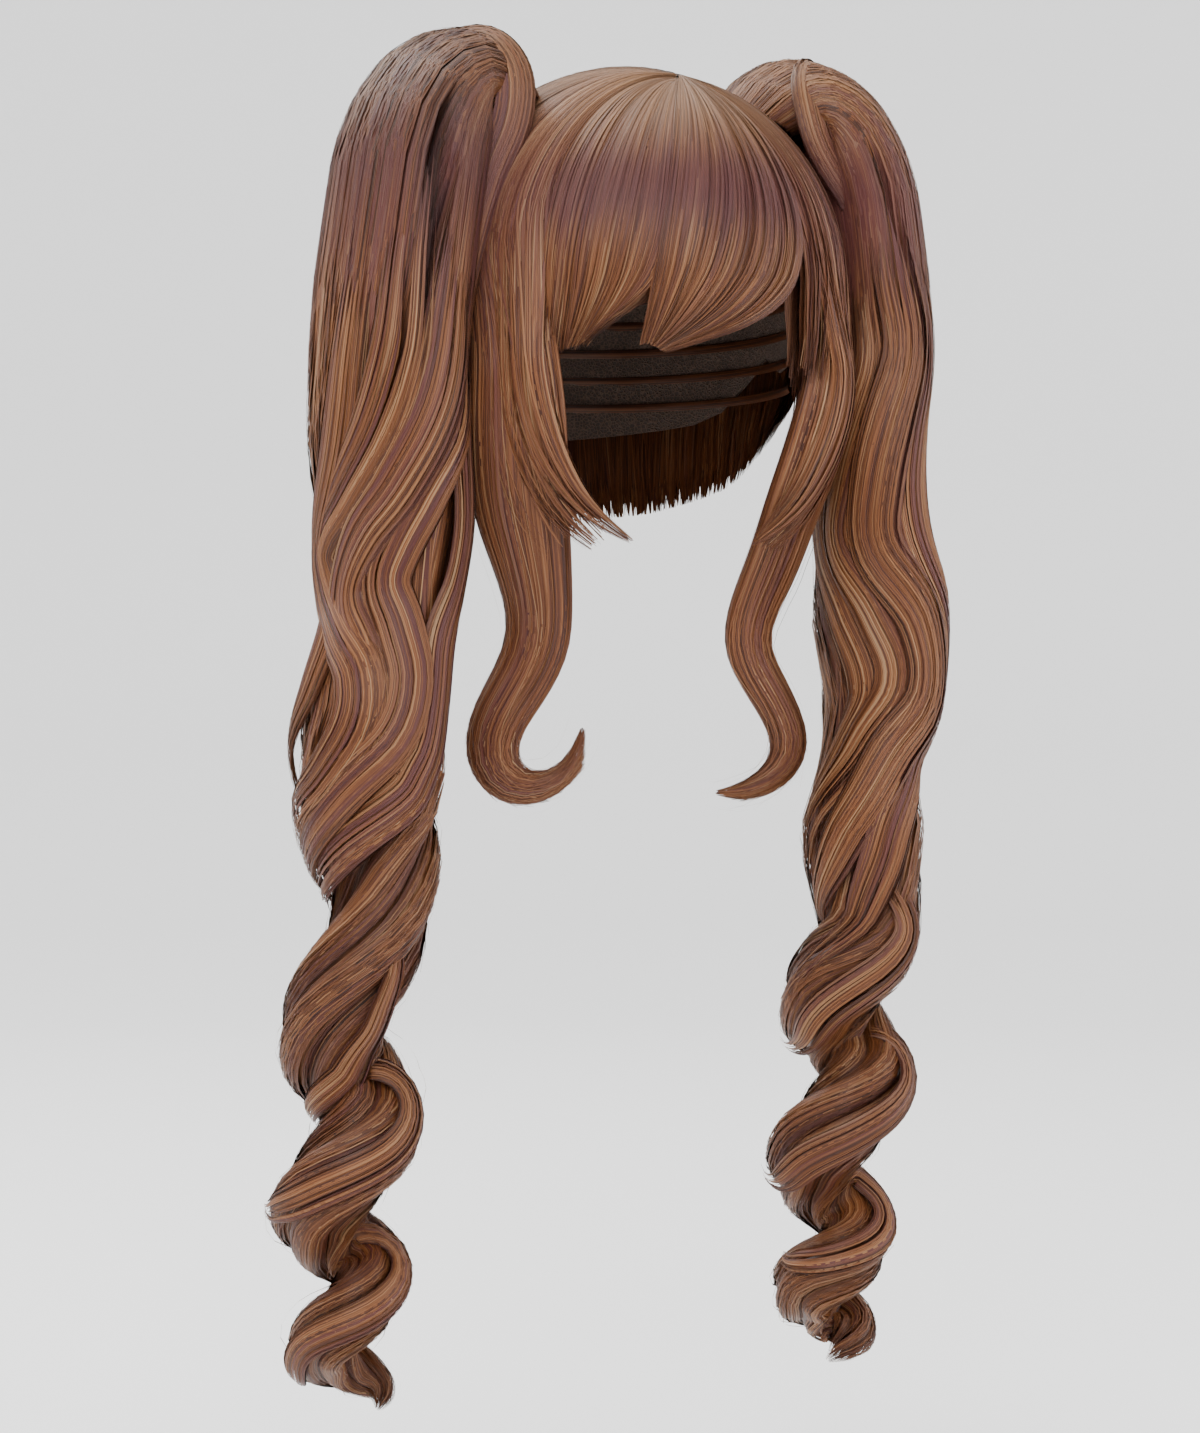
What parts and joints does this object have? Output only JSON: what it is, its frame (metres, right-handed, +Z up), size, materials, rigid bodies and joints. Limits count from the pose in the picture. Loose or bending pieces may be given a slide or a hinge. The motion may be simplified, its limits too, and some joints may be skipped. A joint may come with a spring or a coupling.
{
  "type": "pigtail wig",
  "caption": "Long wavy hair wig on a hollow net cap, with bangs, curled face-framing side locks and two high pigtails that arch up and fall into ringlets.",
  "frame": {"origin": "where the top of the head bears inside the cap", "axes": "the wearer faces -Y, +X is the wearer's left, +Z is up"},
  "size_m": [0.3114, 0.2164, 0.5861],
  "materials": {
    "hair": "silky caramel-brown synthetic hair with ash-gold highlights and a dusty mauve cast, soft sheen",
    "cap_net": "dark brown elastic net with sewn rows of wefts, matte",
    "clip": "plain dark brown moulded plastic"
  },
  "bodies": {
    "root": {"wig_cap": "cap_net", "crown_hair": "hair", "back_hair": "hair", "bangs": "hair", "side_lock_right": "hair", "side_lock_left": "hair", "pigtail_right": "hair", "pigtail_left": "hair", "pigtail_clip_right": "clip", "pigtail_clip_left": "clip"}
  },
  "joints": []
}
